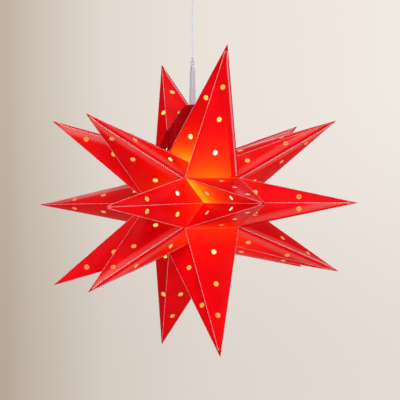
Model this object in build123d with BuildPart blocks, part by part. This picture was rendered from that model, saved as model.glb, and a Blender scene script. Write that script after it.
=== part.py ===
from build123d import *
from math import acos, cos, degrees, radians, sin, tan
import os

os.makedirs("parts", exist_ok=True)

# A lit folding star of eighteen sewn sheet points, hung on a thin line from a ceiling hook.
# Millimetres. +Z is up and the origin is the middle of the ceiling plate's upper face.
# The line and the stem hang straight down from there, and pass the star's middle on its left.
# The star's points stand in three rings of six round a level axis, which runs along X.
# A place on the star is given by its reach from the star's middle, its slant off the middle
# ring's plane towards +X, and its turn round that axis from -Y, which faces the viewer.

# the star
drop = 405.0  # ceiling to the star's middle
stem_offset = 5.6  # the stem stands this far left of the star's middle
middle_reach = 300.0  # middle to the tip of a middle ring's point
side_reach = 288.0  # middle to the tip of a left or right ring's point
side_slant = 54.5
corner_reach = 100.0  # middle to a corner where four points meet
corner_slant = 30.0
crease_x = 15.0  # inner end of a crease between a side point and a middle point
pole_x = 88.0  # where the six points of a side ring meet on the axis
pole_hole = 6.0  # radius left open there, where the cropped corners meet
points_round = 6
sheet = 0.8
crease = 0.1  # width of a scored fold line
wire_sides = 8  # of a round wire's section
hole_radius = 4.4
hole_sides = 8
wide_rows = (0.32, 0.56, 0.81)  # holes of a middle point's whole faces, tip to base
pole_rows = (0.32, 0.58, 0.86)  # holes of a side point's faces next to the pole
half_rows = (0.46, 0.80)  # holes of the narrow faces beside a crease

middle_weld = 17.0  # from the tip down, where a point's sheets are welded into one
side_weld = 10.0

# the sewn points don't stand quite evenly: each one's lean in slant and in turn, degrees
lean = {
    "middle_point_2": (1.0, 4.0),
    "middle_point_3": (0.0, 3.0),
    "middle_point_5": (-1.0, 0.0),
    "middle_point_6": (-3.0, 0.0),
    "left_point_1": (1.0, -2.0),
    "left_point_2": (1.0, 1.5),
    "left_point_3": (-1.5, -2.0),
    "left_point_4": (1.0, 1.5),
    "left_point_6": (1.5, 0.5),
    "right_point_2": (0.5, 1.0),
    "right_point_3": (1.0, 1.5),
    "right_point_5": (4.5, -6.0),
    "right_point_6": (8.0, -8.0),
}

# the closure over the star's top fold
tab_foot = 4.5  # tabs' lower edge above the fold
tab_overhang = 2.0  # tabs' sides beyond the corners at the fold's ends
tab_shoulder = 40.0  # height of the straight side above the fold
tab_top_half = 21.0
tab_top = 83.0
tab_peak = 86.0  # height of the middle of the top edge
stem_cut = 26.0  # the tabs are cut away round the stem up to this height
stem_cut_room = 0.7
flange_width = 20.0  # seam flange beside the tabs, out from the fold to the pole
flange_root = 8.0
flange_run = 72.0  # down along that fold from the corner
side_gap = 1.0  # tab to flange
hook_pile = 1.6
loop_pile = 1.8
pad_gap = 0.4
pad_start = 9.0  # pads' nearest edge to the stem's middle
pad_width = 27.0
pad_height = 30.0
pad_foot = 26.0  # above the fold

# the hanger stem
sleeve_top_wall = 1.3
sleeve_wall = 2.3
sleeve_lip = 0.5  # wall left at the top edge
sleeve_taper = 60.0  # length of the tapered stretch
sleeve_top = 233.0  # heights in this part are above the star's middle
sleeve_shoulder = 1.6
sleeve_fit = 0.2
sleeve_room = 0.5  # tab's channel to the sleeve
rod_radius = 3.0
rod_wall = 0.8
rod_top = 239.0
bush_lip = 1.0
bush_length = 7.0
bush_fit = 0.05
eye_radius = 3.2
eye_wire = 0.8
shank_radius = 0.9
shank_room = 0.4  # bore to the shank's head
shank_head_height = 1.5
swivel_fit = 0.1
eye_lift = 0.3  # ring above the bush
plate_radius = 22.0
plate_thickness = 3.0
plate_edge = 0.8
seat_gap = 0.3

# the lamp and its holder
cap_radius = 11.0
cap_height = 12.0
cap_wall = 1.2
holder_fit = 0.4
holder_height = 24.0
slot_width = 2.6
slot_length = 5.2
slot_depth = 15.0
pin_spacing = 9.0
pin_wire = 0.4  # half the thickness of a pin's wire
pin_half = 1.0  # half the width of a pin's loop
pin_length = 11.0
clip_wall = 0.4
clip_fit = 0.2
clip_length = 9.0
inlet_radius = 2.6
inlet_bore = 1.5
inlet_length = 5.0
lamp_radius = 8.0
lamp_base_height = 10.0
lamp_wall = 1.0
lamp_length = 36.0
lamp_edge = 1.2
core_width = 7.0
core_thickness = 1.2
core_length = 28.0
chip_size = 2.4
chip_height = 0.6
chip_rows = 5

# the line and the ceiling hook
line_radius = 1.0
loop_fit = 0.15  # line to the wire that it goes round
loop_close = 1.15  # half the distance between a loop's two ends
loop_lean = 15.0  # how far a loop's legs close in, degrees
knot_radius = 2.6
knot_height = 4.2
knot_edge = 0.5
hook_wire = 1.5
hook_radius = 8.0
hook_neck = 4.0  # radius of the bend between the shank and the hook
hook_shank = 5.0
hook_tail = 30.0  # how far the hook's end rises past level, degrees
rose_radius = 23.0
rose_height = 5.0
rose_edge = 1.5
screw_spacing = 30.0
screw_radius = 2.2
screw_head = 4.3

centre = Vector(stem_offset, 0, -drop)
stem = Vector(0, 0, -drop)
turn_step = 360 / points_round
fold_radius = corner_reach * cos(radians(corner_slant))  # of the folds, out from the axis
fold_x = corner_reach * sin(radians(corner_slant))
crease_radius = fold_radius * cos(radians(turn_step / 2))
tab_gap = (hook_pile + loop_pile + pad_gap) / 2  # half the space between the tabs' sheets
tab_half = fold_x + tab_overhang
sleeve_bore = rod_radius + sleeve_fit
sleeve_radius = sleeve_bore + sleeve_wall


def on_star(x, radius, turn):
    """A place at x along the axis and radius out from it, at a turn from the front."""
    return centre + Vector(x, -radius * cos(radians(turn)), radius * sin(radians(turn)))


def corner(turn, side):
    return on_star(side * fold_x, fold_radius, turn)


def inner_end(turn, side):
    return on_star(side * crease_x, crease_radius, turn)


def tip_of(name, reach, slant, turn):
    off_slant, off_turn = lean.get(name, (0.0, 0.0))
    leant = radians(slant + off_slant)
    return on_star(reach * sin(leant), reach * cos(leant), turn + off_turn)


def facing(a, b, c, inside):
    """The unit normal of the triangle a, b, c that points away from inside."""
    normal = (b - a).cross(c - a).normalized()
    return normal if normal.dot(a - inside) > 0 else -normal


def mitre(a, b, along, keep):
    """The plane through the fold a-b and the direction along, facing the side to keep."""
    normal = (b - a).cross(along).normalized()
    if normal.dot(keep - a) < 0:
        normal = -normal
    return Plane(a + normal * (crease / 2), x_dir=b - a, z_dir=normal)


def panel(tip, a, b, normal, mitres, rows):
    """One flat face of a point, a sheet thick inwards, with its row of holes."""
    face = Plane(tip, x_dir=(a + b) * 0.5 - tip, z_dir=normal)
    corners = [face.to_local_coords(p) for p in (tip, a, b)]
    middle = (corners[1] + corners[2]) * 0.5
    with BuildPart() as made:
        with BuildSketch(face):
            with BuildLine():
                Polyline(*corners, close=True)
            make_face()
            offset(amount=2 * sheet, kind=Kind.INTERSECTION)
            with Locations(*[middle * row for row in rows]):
                RegularPolygon(hole_radius, hole_sides, mode=Mode.SUBTRACT)
        extrude(amount=-sheet)
        for cut in mitres:
            split(bisect_by=cut, keep=Keep.TOP)
    return made.part


def folded_point(tip, base, rows, weld):
    """A point of the star: its base corners in order, and each face's row of holes."""
    count = len(base)
    base_middle = sum(base, Vector(0, 0, 0)) * (1 / count)
    axis = (base_middle - tip).normalized()
    pairs = [(base[i], base[(i + 1) % count]) for i in range(count)]
    middles = [(tip + a + b) * (1 / 3) for a, b in pairs]
    normals = [facing(tip, a, b, (base_middle + tip) * 0.5) for a, b in pairs]
    feet = [mitre(a, b, centre - a, m) for (a, b), m in zip(pairs, middles)]
    weld_plane = Plane(tip + axis * weld, z_dir=axis)
    below_weld = Plane(tip + axis * (weld + crease), z_dir=axis)
    with BuildPart() as point:
        for i, (a, b) in enumerate(pairs):
            last, following = i - 1, (i + 1) % count
            mitres = [
                mitre(tip, a, normals[i] + normals[last], middles[i]),
                mitre(tip, b, normals[i] + normals[following], middles[i]),
                feet[i],
                below_weld,
            ]
            # a base corner that stands out is also kept out of the next point's room
            if feet[last].to_local_coords(b).Z > 0:
                mitres.append(feet[last])
            if feet[following].to_local_coords(a).Z > 0:
                mitres.append(feet[following])
            add(panel(tip, a, b, normals[i], mitres, rows[i]))
        with BuildSketch(weld_plane):
            with BuildLine():
                edges = [tip + (p - tip) * (weld / (p - tip).dot(axis)) for p in base]
                Polyline(*[weld_plane.to_local_coords(p) for p in edges], close=True)
            make_face()
        loft(sections=[point.pending_faces[0], Vertex(*tip)])
    return point


# the sheet points, as separate flat faces that meet at their folds
for n in range(points_round):
    turn = n * turn_step
    low, high = turn - turn_step / 2, turn + turn_step / 2
    name = f"middle_point_{n + 1}"
    base = [
        corner(high, 1),
        inner_end(turn, 1),
        corner(low, 1),
        corner(low, -1),
        inner_end(turn, -1),
        corner(high, -1),
    ]
    rows = [half_rows, half_rows, wide_rows, half_rows, half_rows, wide_rows]
    tip = tip_of(name, middle_reach, 0.0, turn)
    middle_point = folded_point(tip, base, rows, middle_weld)
    with middle_point:
        # the top fold is notched for the stem and the tabs' channel round it
        with Locations(stem + Vector(0, 0, fold_radius)):
            Cylinder(
                sleeve_radius + sleeve_room + sheet + seat_gap,
                4 * sleeve_radius,
                mode=Mode.SUBTRACT,
            )
    middle_point.part.label = name
    export_step(middle_point.part, f"parts/{name}.step")

    for side, ring in ((-1, "left"), (1, "right")):
        name = f"{ring}_point_{n + 1}"
        base = [
            corner(high, side),
            inner_end(turn, side),
            corner(low, side),
            on_star(side * pole_x, 0, turn),
        ]
        rows = [half_rows, half_rows, pole_rows, pole_rows]
        tip = tip_of(name, side_reach, side * side_slant, turn)
        side_point = folded_point(tip, base, rows, side_weld)
        with side_point:
            with Locations(Location(centre, (0, 90, 0))):
                Cylinder(pole_hole, 3 * pole_x, mode=Mode.SUBTRACT)
        side_point.part.label = name
        export_step(side_point.part, f"parts/{name}.step")


# the closure: two tabs face to face over the top fold, with a channel round the stem
fold_height = centre.Z + fold_radius
channel = sleeve_radius + sleeve_room
tab_outline = [
    (-fold_x, tab_foot),
    (-tab_half, tab_shoulder),
    (-tab_top_half, tab_top),
    (0, tab_peak),
    (tab_top_half, tab_top),
    (tab_half, tab_shoulder),
    (fold_x, tab_foot),
]
closure_plane = Plane((centre.X, 0, fold_height), x_dir=(1, 0, 0), z_dir=(0, -1, 0))
with BuildPart() as front_tab:
    with BuildSketch(Plane.XY.offset(fold_height)):
        with Locations((centre.X, -tab_gap - sheet / 2)):
            Rectangle(2 * tab_half, sheet)
        Circle(channel + sheet)
        Circle(channel, mode=Mode.SUBTRACT)
        with Locations((0, -tab_gap)):
            Rectangle(
                4 * channel,
                4 * channel,
                align=(Align.CENTER, Align.MIN),
                mode=Mode.SUBTRACT,
            )
    extrude(amount=tab_peak)
    with BuildSketch(closure_plane):
        with BuildLine():
            Polyline(*tab_outline, close=True)
        make_face()
    extrude(amount=2 * channel, mode=Mode.INTERSECT)
    with BuildSketch(Plane((0, 0, fold_height), x_dir=(1, 0, 0), z_dir=(0, -1, 0))):
        Rectangle(
            2 * (channel + sheet + stem_cut_room),
            stem_cut,
            align=(Align.CENTER, Align.MIN),
        )
    extrude(amount=2 * channel, mode=Mode.SUBTRACT)
front_tab.part.label = "front_tab"
export_step(front_tab.part, "parts/front_tab.step")

with BuildPart() as back_tab:
    add(front_tab.part)
    mirror(about=Plane.XZ, mode=Mode.REPLACE)
back_tab.part.label = "back_tab"
export_step(back_tab.part, "parts/back_tab.step")

pad_places = [
    (side * (pad_start + pad_width / 2), pad_foot + pad_height / 2) for side in (-1, 1)
]
for name, face, pile in (
    ("hook_pads", -tab_gap, hook_pile),
    ("loop_pads", tab_gap, -loop_pile),
):
    with BuildPart() as pads:
        with BuildSketch(Plane((0, face, fold_height), x_dir=(1, 0, 0), z_dir=(0, -1, 0))):
            with Locations(*pad_places):
                RectangleRounded(pad_width, pad_height, 3)
        extrude(amount=-pile)
    pads.part.label = name
    export_step(pads.part, f"parts/{name}.step")

# the seam flange beside each tab runs down along the fold from the corner to the pole
slope = Vector(pole_x - fold_x, -fold_radius).normalized()
away = Vector(-slope.Y, slope.X)


def beside_fold(along, out):
    """A place in the closure's plane, along the right-hand fold and out from it."""
    place = Vector(fold_x, 0) + slope * along + away * out
    return (place.X, place.Y)


edge_x = tab_half + side_gap
top_along = (flange_width * away.Y - tab_shoulder) / -slope.Y
root_along = (edge_x - fold_x - flange_root * away.X) / slope.X
flange_outline = [
    (edge_x, tab_shoulder),
    beside_fold(top_along, flange_width),
    beside_fold(flange_run - flange_width + flange_root, flange_width),
    beside_fold(flange_run, flange_root),
    beside_fold(root_along, flange_root),
]
for name, inset in (("front_flange", tab_gap), ("back_flange", -tab_gap - sheet)):
    with BuildPart() as flange:
        with BuildSketch(closure_plane.offset(inset)):
            with BuildLine():
                Polyline(*flange_outline, close=True)
            make_face()
            mirror(about=Plane.YZ)
        extrude(amount=sheet)
    flange.part.label = name
    export_step(flange.part, f"parts/{name}.step")


# the hanger: a tube in a translucent sleeve, with a swivelling eye above and a plate below
def up(height):
    """A level plane at a height above the star's middle."""
    return Plane(stem + Vector(0, 0, height))


plate_top = fold_radius - sheet / sin(radians(turn_step / 2)) - seat_gap
plate_foot = plate_top - plate_thickness
with BuildPart() as foot_plate:
    with BuildSketch(up(plate_foot)):
        Circle(plate_radius)
        Circle(sleeve_bore, mode=Mode.SUBTRACT)
    extrude(amount=plate_thickness)
    rims = foot_plate.edges().filter_by(GeomType.CIRCLE).group_by(SortBy.RADIUS)[-1]
    chamfer(rims, plate_edge)
foot_plate.part.label = "foot_plate"
export_step(foot_plate.part, "parts/foot_plate.step")

sleeve_foot = plate_top + sleeve_fit
sleeve_outline = [
    (sleeve_bore, sleeve_foot),
    (sleeve_radius, sleeve_foot),
    (sleeve_radius, sleeve_top - sleeve_taper),
    (sleeve_bore + sleeve_top_wall, sleeve_top - sleeve_shoulder),
    (sleeve_bore + sleeve_lip, sleeve_top),
    (sleeve_bore, sleeve_top),
]
with BuildPart() as stem_sleeve:
    with BuildSketch(Plane.XZ):
        with BuildLine():
            Polyline(*[(r, stem.Z + z) for r, z in sleeve_outline], close=True)
        make_face()
    revolve(axis=Axis.Z)
stem_sleeve.part.label = "stem_sleeve"
export_step(stem_sleeve.part, "parts/stem_sleeve.step")

cap_top = plate_foot - sleeve_fit
rod_foot = cap_top - cap_wall
rod_bore = rod_radius - rod_wall
with BuildPart() as hanger_rod:
    with BuildSketch(up(rod_foot)):
        Circle(rod_radius)
        Circle(rod_bore, mode=Mode.SUBTRACT)
    extrude(amount=rod_top - rod_foot)
hanger_rod.part.label = "hanger_rod"
export_step(hanger_rod.part, "parts/hanger_rod.step")

with BuildPart() as neck_bush:
    with BuildSketch(up(rod_top)):
        Circle(rod_radius)
    extrude(amount=bush_lip)
    with BuildSketch(up(rod_top)):
        Circle(rod_bore - bush_fit)
    extrude(amount=-bush_length)
    with Locations(stem + Vector(0, 0, rod_top + bush_lip)):
        Hole(shank_radius + swivel_fit)
neck_bush.part.label = "neck_bush"
export_step(neck_bush.part, "parts/neck_bush.step")

eye_height = rod_top + bush_lip + eye_lift + eye_radius + eye_wire
shank_top = eye_height - eye_radius
shank_foot = rod_top - bush_length - swivel_fit
with BuildPart() as hanger_eye:
    with BuildLine(Plane(stem + Vector(0, 0, eye_height), z_dir=(0, 1, 0))):
        ring = CenterArc((0, 0), eye_radius, 0, 360)
    with BuildSketch(Plane(ring @ 0, z_dir=ring % 0)):
        RegularPolygon(eye_wire, wire_sides)
    sweep()
    with BuildSketch(up(shank_top)):
        Circle(shank_radius)
    extrude(amount=shank_foot - shank_top)
    with BuildSketch(up(shank_foot)):
        Circle(rod_bore - shank_room)
    extrude(amount=-shank_head_height)
hanger_eye.part.label = "hanger_eye"
export_step(hanger_eye.part, "parts/hanger_eye.step")

# the lamp holder: a cap on the tube's foot, with a side inlet, over a ceramic body
with BuildPart() as holder_cap:
    with BuildSketch(up(cap_top)):
        Circle(cap_radius)
    extrude(amount=-cap_height)
    chamfer(holder_cap.edges().group_by(Axis.Z)[-1], 2)
    with BuildSketch(up(cap_top - cap_height)):
        Circle(cap_radius - cap_wall)
    extrude(amount=cap_height - cap_wall, mode=Mode.SUBTRACT)
    with Locations(stem + Vector(0, 0, cap_top)):
        Hole(rod_radius + bush_fit)
    inlet = Plane(
        stem + Vector(0, cap_radius - cap_wall / 2, cap_top - cap_height / 2),
        x_dir=(1, 0, 0),
        z_dir=(0, 1, 0),
    )
    with BuildSketch(inlet):
        Circle(inlet_radius)
    extrude(amount=inlet_length)
    with BuildSketch(inlet):
        Circle(inlet_bore)
    extrude(amount=inlet_length, mode=Mode.SUBTRACT)
    with BuildSketch(inlet):
        Circle(inlet_bore)
    extrude(amount=-cap_wall, mode=Mode.SUBTRACT)
holder_cap.part.label = "holder_cap"
export_step(holder_cap.part, "parts/holder_cap.step")

holder_top = cap_top - 2 * cap_wall
holder_foot = holder_top - holder_height
pin_places = [(-pin_spacing / 2, 0), (pin_spacing / 2, 0)]
with BuildPart() as holder_body:
    with BuildSketch(up(holder_foot)):
        Circle(cap_radius - cap_wall - holder_fit)
    extrude(amount=holder_height)
    chamfer(holder_body.edges().group_by(Axis.Z)[0], 1)
    with BuildSketch(up(holder_foot)):
        with Locations(*pin_places):
            SlotOverall(slot_length, slot_width, rotation=90)
    extrude(amount=slot_depth, mode=Mode.SUBTRACT)
holder_body.part.label = "holder_body"
export_step(holder_body.part, "parts/holder_body.step")

# a folded spring leaf in each slot grips the lamp's pin from both sides
clip_inside = pin_wire + clip_fit
clip_top = holder_foot + slot_depth - clip_fit
with BuildPart() as contact_clips:
    with BuildSketch(up(clip_top)):
        with Locations(*pin_places):
            Rectangle(2 * (clip_inside + clip_wall), 2 * pin_half)
    extrude(amount=-clip_length)
    with BuildSketch(up(clip_top - clip_wall)):
        with Locations(*pin_places):
            Rectangle(2 * clip_inside, 2 * pin_half)
    extrude(amount=-clip_length, mode=Mode.SUBTRACT)
contact_clips.part.label = "contact_clips"
export_step(contact_clips.part, "parts/contact_clips.step")

lamp_top = holder_foot - seat_gap
lamp_neck = lamp_top - lamp_base_height
with BuildPart() as lamp_base:
    with BuildSketch(up(lamp_top)):
        Circle(lamp_radius)
    extrude(amount=-lamp_base_height)
    chamfer(lamp_base.edges().group_by(Axis.Z)[-1], 1)
lamp_base.part.label = "lamp_base"
export_step(lamp_base.part, "parts/lamp_base.step")

with BuildPart() as lamp_pins:
    for x, y in pin_places:
        pin_plane = Plane(
            stem + Vector(x - pin_wire, y, lamp_top), x_dir=(0, 1, 0), z_dir=(1, 0, 0)
        )
        with BuildSketch(pin_plane):
            SlotOverall(2 * pin_length, 2 * pin_half, rotation=90)
            SlotOverall(
                2 * (pin_length - 2 * pin_wire),
                2 * (pin_half - 2 * pin_wire),
                rotation=90,
                mode=Mode.SUBTRACT,
            )
            Rectangle(
                2 * pin_half, pin_length, align=(Align.CENTER, Align.MIN), mode=Mode.INTERSECT
            )
        extrude(amount=2 * pin_wire)
lamp_pins.part.label = "lamp_pins"
export_step(lamp_pins.part, "parts/lamp_pins.step")

with BuildPart() as lamp_core:
    with BuildSketch(up(lamp_neck)):
        Rectangle(core_width, core_thickness)
    extrude(amount=-core_length)
    for side in (-1, 1):
        board = Plane(
            stem + Vector(0, side * core_thickness / 2, lamp_neck - core_length / 2),
            x_dir=(1, 0, 0),
            z_dir=(0, side, 0),
        )
        with BuildSketch(board):
            with GridLocations(0, core_length / chip_rows, 1, chip_rows):
                Rectangle(chip_size, chip_size)
        extrude(amount=chip_height)
lamp_core.part.label = "lamp_core"
export_step(lamp_core.part, "parts/lamp_core.step")

lamp_foot = lamp_neck - lamp_length
with BuildPart() as lamp_cover:
    with BuildSketch(up(lamp_foot)):
        Circle(lamp_radius)
    extrude(amount=lamp_length)
    chamfer(lamp_cover.edges().group_by(Axis.Z)[0], lamp_edge)
    with BuildSketch(up(lamp_neck)):
        Circle(lamp_radius - lamp_wall)
    extrude(amount=lamp_wall - lamp_length, mode=Mode.SUBTRACT)
lamp_cover.part.label = "lamp_cover"
export_step(lamp_cover.part, "parts/lamp_cover.step")


# the ceiling plate and its hook
with BuildPart() as ceiling_plate:
    with BuildSketch():
        Circle(rose_radius)
    extrude(amount=-rose_height)
    chamfer(ceiling_plate.edges().group_by(Axis.Z)[0], rose_edge)
    with Locations(Location((0, 0, -rose_height), (180, 0, 0))):
        with GridLocations(screw_spacing, 0, 2, 1):
            CounterSinkHole(screw_radius, screw_head)
ceiling_plate.part.label = "ceiling_plate"
export_step(ceiling_plate.part, "parts/ceiling_plate.step")

neck_turn = degrees(acos(hook_neck / (hook_neck + hook_radius)))
with BuildPart() as ceiling_hook:
    with BuildLine(Plane.XZ):
        shank = Line((0, -rose_height), (0, -rose_height - hook_shank))
        neck = JernArc(shank @ 1, shank % 1, hook_neck, neck_turn)
        bow = JernArc(neck @ 1, neck % 1, hook_radius, -(neck_turn + 180 + hook_tail))
    with BuildSketch(Plane(shank @ 0, z_dir=shank % 0)):
        RegularPolygon(hook_wire, wire_sides)
    sweep()
ceiling_hook.part.label = "ceiling_hook"
export_step(ceiling_hook.part, "parts/ceiling_hook.step")

hook_seat = -rose_height - hook_shank - (hook_neck + hook_radius) * sin(radians(neck_turn))
hook_seat -= hook_radius


# the line: a loop and a knot at each end of one straight run
def line_loop(seat, wire, way):
    """A loop round a wire at a height, closing towards its knot upwards or downwards."""
    bend = wire + loop_fit + line_radius
    leg_y, leg_z = bend * cos(radians(loop_lean)), bend * sin(radians(loop_lean))
    reach = leg_z + (leg_y - loop_close) / tan(radians(loop_lean))
    with BuildPart() as loop:
        with BuildLine(Plane.YZ):
            first = Line((loop_close, seat + way * reach), (leg_y, seat + way * leg_z))
            bow = ThreePointArc(first @ 1, (0, seat - way * bend), (-leg_y, seat + way * leg_z))
            Line(bow @ 1, (-loop_close, seat + way * reach))
        with BuildSketch(Plane(first @ 0, z_dir=first % 0)):
            RegularPolygon(line_radius, wire_sides)
        sweep()
        end = Plane.XY.offset(seat + way * (reach - line_radius / 2))
        split(bisect_by=end, keep=Keep.BOTTOM if way > 0 else Keep.TOP)
    return loop, seat + way * (reach - line_radius / 2)


def knot(start, way):
    with BuildPart() as made:
        with BuildSketch(Plane.XY.offset(start)):
            Circle(knot_radius)
        extrude(amount=way * knot_height)
        chamfer(made.edges().filter_by(GeomType.CIRCLE), knot_edge)
    return made


upper_loop, upper_start = line_loop(hook_seat, hook_wire, -1)
upper_knot = knot(upper_start, -1)
lower_loop, lower_start = line_loop(stem.Z + eye_height + eye_radius, eye_wire, 1)
lower_knot = knot(lower_start, 1)
line_top, line_foot = upper_start - knot_height, lower_start + knot_height
with BuildPart() as suspension_line:
    with BuildSketch(Plane.XY.offset(line_foot)):
        Circle(line_radius)
    extrude(amount=line_top - line_foot)
for piece, name in (
    (upper_loop, "upper_loop"),
    (upper_knot, "upper_knot"),
    (lower_loop, "lower_loop"),
    (lower_knot, "lower_knot"),
    (suspension_line, "suspension_line"),
):
    piece.part.label = name
    export_step(piece.part, f"parts/{name}.step")

sway_height = stem.Z + eye_height + eye_radius - eye_wire - loop_fit - line_radius
print(f"line from {line_top:.1f} to {line_foot:.1f}, {line_top - line_foot:.1f} long")
print(f"swing axis at z {hook_seat:.2f}, sway axis at z {sway_height:.2f}")
print(f"tab fold at y {tab_gap + sheet / 2:.2f}, z {fold_height + tab_foot:.2f}")
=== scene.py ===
import bpy
from math import acos, copysign, cos, degrees, hypot, pi, radians, sin, sqrt, tan
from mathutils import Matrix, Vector
from mathutils.bvhtree import BVHTree
from mathutils.geometry import delaunay_2d_cdt


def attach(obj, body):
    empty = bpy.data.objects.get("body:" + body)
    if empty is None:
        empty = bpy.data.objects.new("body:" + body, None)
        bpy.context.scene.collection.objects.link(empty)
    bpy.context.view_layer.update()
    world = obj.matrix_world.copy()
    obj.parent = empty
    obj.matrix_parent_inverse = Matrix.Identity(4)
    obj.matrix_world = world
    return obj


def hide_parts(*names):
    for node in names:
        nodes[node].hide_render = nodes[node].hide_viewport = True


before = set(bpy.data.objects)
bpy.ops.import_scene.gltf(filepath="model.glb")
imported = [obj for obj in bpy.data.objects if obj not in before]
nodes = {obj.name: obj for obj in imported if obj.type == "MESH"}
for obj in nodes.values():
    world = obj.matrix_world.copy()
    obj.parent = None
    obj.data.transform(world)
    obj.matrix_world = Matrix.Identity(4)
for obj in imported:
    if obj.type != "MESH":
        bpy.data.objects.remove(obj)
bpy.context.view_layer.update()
scene = bpy.context.scene
starCentre = Vector((0.0056, 0, -0.405))


def linked(name, data):
    made = bpy.data.objects.new(name, data)
    scene.collection.objects.link(made)
    return made


# camera, at the photograph's angle
view = {
    "azimuth": -22.3, "elevation": 0.33, "distance": 3.43, "lens": 176, "sensor": 36, "farthest": 50,
    "shiftRight": 0.00807, "shiftUp": 0.00438,
}
azimuth, elevation = radians(view["azimuth"]), radians(view["elevation"])
backward = Vector((
    sin(azimuth) * cos(elevation), -cos(azimuth) * cos(elevation), sin(elevation)))
rightward = Vector((cos(azimuth), sin(azimuth), 0))
camera = linked("camera", bpy.data.cameras.new("camera"))
camera.data.lens = view["lens"]
camera.data.sensor_width = view["sensor"]
camera.data.clip_end = view["farthest"]
camera.location = (
    starCentre + backward * view["distance"] + rightward * view["shiftRight"]
    + backward.cross(rightward) * view["shiftUp"]
)
camera.rotation_euler = (-backward).to_track_quat("-Z", "Y").to_euler()
scene.camera = camera
scene.view_settings.view_transform = "Standard"
print("camera placed")


# a node tree that is written as expressions
class Socket:
    def __init__(self, board, out):
        self.board, self.out = board, out

    def other(self, name):  # another output of the same node
        return Socket(self.board, self.out.node.outputs[name])

    def __add__(self, other):
        return self.board.maths("ADD", self, other)

    def __sub__(self, other):
        return self.board.maths("SUBTRACT", self, other)

    def __rsub__(self, other):
        return self.board.maths("SUBTRACT", other, self)

    def __mul__(self, other):
        return self.board.maths("MULTIPLY", self, other)

    def __truediv__(self, other):
        return self.board.maths("DIVIDE", self, other)

    def __rtruediv__(self, other):
        return self.board.maths("DIVIDE", other, self)

    def __pow__(self, other):
        return self.board.maths("POWER", self, other)

    def __rpow__(self, other):
        return self.board.maths("POWER", other, self)

    __radd__, __rmul__ = __add__, __mul__


class Board:
    def __init__(self, tree):
        self.tree = tree

    def node(self, kind, settings=None, values=None, out=0):
        made = self.tree.nodes.new(kind)
        for key, value in (settings or {}).items():
            if key == "stops":
                ramp = made.color_ramp
                while len(ramp.elements) < len(value):
                    ramp.elements.new(0.5)
                for element, (place, colour) in zip(ramp.elements, value):
                    element.position, element.color = place, (*colour, 1)
            else:
                setattr(made, key, value)
        self.fill(made, values or {})
        return Socket(self, made.outputs[out]) if len(made.outputs) else made

    def fill(self, made, values):
        for key, value in values.items():
            entry = made.inputs[key]
            if isinstance(value, Socket):
                self.tree.links.new(value.out, entry)
            else:
                entry.default_value = (*value[:3], 1) if entry.type == "RGBA" else value

    def maths(self, operation, first, second=0.0):
        return self.node("ShaderNodeMath", {"operation": operation}, {0: first, 1: second})

    def blendColours(self, factor, first, second):
        return self.node("ShaderNodeMix", {"data_type": "RGBA"}, {0: factor, 6: first, 7: second}, out=2)

    def ramp(self, factor, *stops):
        return self.node("ShaderNodeValToRGB", {"stops": stops}, {"Fac": factor})

    def smooth(self, value, low, high):
        values = {"Value": value, "From Min": low, "From Max": high}
        return self.node("ShaderNodeMapRange", {"interpolation_type": "SMOOTHSTEP"}, values)

    def place(self):
        return self.node("ShaderNodeTexCoord", out="Object")

    def read(self, attribute):
        return self.node("ShaderNodeAttribute", {"attribute_name": attribute}, out="Fac")

    def noise(self, scale, detail=2.0, roughness=0.5, at=None):
        values = {"Vector": at or self.place(), "Scale": scale, "Detail": detail, "Roughness": roughness}
        return self.node("ShaderNodeTexNoise", None, values)

    def bump(self, height, distance, strength):
        values = {"Height": height, "Distance": distance, "Strength": strength}
        return self.node("ShaderNodeBump", None, values)


def newFinish(name):
    material = bpy.data.materials.new(name)
    material.use_nodes = True
    material.node_tree.nodes.clear()
    board = Board(material.node_tree)
    shader = board.node("ShaderNodeBsdfPrincipled")
    board.node("ShaderNodeOutputMaterial", None, {"Surface": shader})
    board.shader, board.material = shader.out.node, material
    return board


def setShader(board, values):
    board.fill(board.shader, values)
    return board.material


def shell(name, places, faces, *finishes):
    data = bpy.data.meshes.new(name)
    data.from_pydata(places, [], faces)
    for finish in finishes:
        data.materials.append(finish)
    return data


def addPiece(name, data, body, slot, *replaced):
    piece = linked(name, data)
    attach(piece, body)
    if replaced:
        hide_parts(*replaced)
    return piece


# the line comes first: one straight run, knotted to the hook and to the eye
lineValues = {"top": -0.0390, "foot": -0.1506, "diameter": 0.002, "middles": (0.33, 0.67), "facets": 4}
lineRun = lineValues["foot"] - lineValues["top"]
lineHeights = [lineValues["top"], *(lineValues["top"] + lineRun * part for part in lineValues["middles"])]
lineHeights.append(lineValues["foot"])
runData = bpy.data.curves.new("clearRun", "CURVE")
runData.dimensions = "3D"
runData.bevel_depth, runData.bevel_resolution = lineValues["diameter"] / 2, lineValues["facets"]
runData.use_fill_caps = True
runData.resolution_u = 8
spline = runData.splines.new("NURBS")
spline.points.add(len(lineHeights) - 1)
for point, z in zip(spline.points, lineHeights):
    point.co = (0, 0, z, 1)
spline.order_u = 3
spline.use_endpoint_u = True

board = newFinish("clearLine")  # drawn, clear and a little streaked
streak = board.noise(900, 2)
clearLine = setShader(board, {
    "Base Color": board.blendColours(streak, (0.70, 0.76, 0.82), (0.82, 0.86, 0.90)),
    "Roughness": 0.3 + streak * 0.1, "Alpha": 0.8, "IOR": 1.45,
    "Normal": board.bump(streak, 0.00005, 0.2),
})
runData.materials.append(clearLine)
clearRun = addPiece("clearRun", runData, "line", "clear_line", "suspension_line")
print("line hung")


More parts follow.
